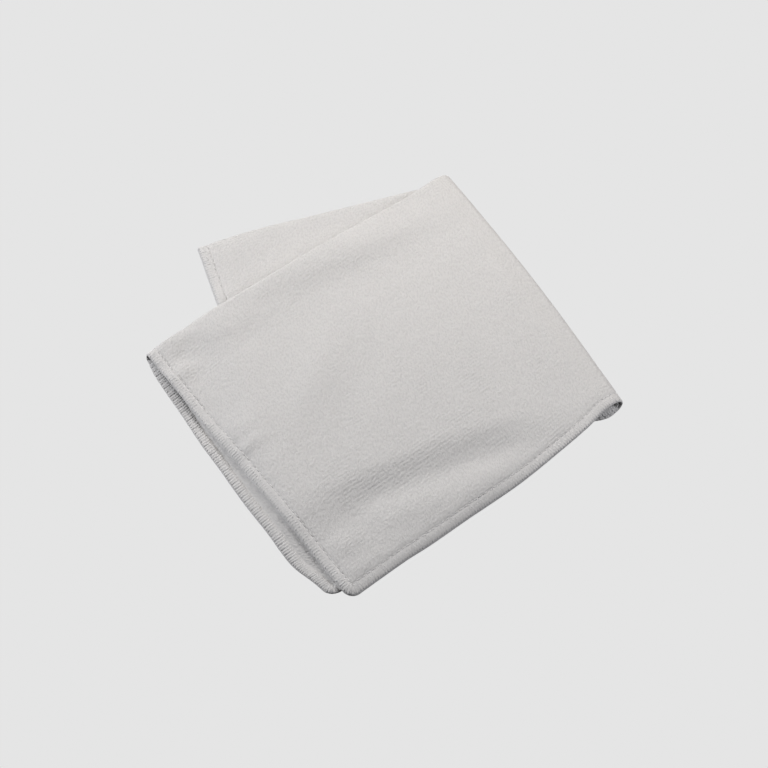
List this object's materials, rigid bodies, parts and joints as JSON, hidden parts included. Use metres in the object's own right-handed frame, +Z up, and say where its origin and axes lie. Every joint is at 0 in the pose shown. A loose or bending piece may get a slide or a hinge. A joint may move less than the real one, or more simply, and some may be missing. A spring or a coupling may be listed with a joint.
{
  "type": "folded microfiber cloth",
  "caption": "Square knitted white microfiber cleaning cloth with an overlocked hem, folded over and over a little askew and lying flat, with a flap showing behind",
  "frame": {"origin": "on the surface the cloth rests on, under the middle of its box", "axes": "+X along the ribs, from the left hem towards the second fold; +Y from the front hem towards the first fold and the flap; +Z up"},
  "size_m": [0.2446, 0.2546, 0.012],
  "materials": {
    "cloth": "matte knitted pile with fine ribs"
  },
  "bodies": {
    "root": {"cloth": "cloth"}
  },
  "joints": []
}
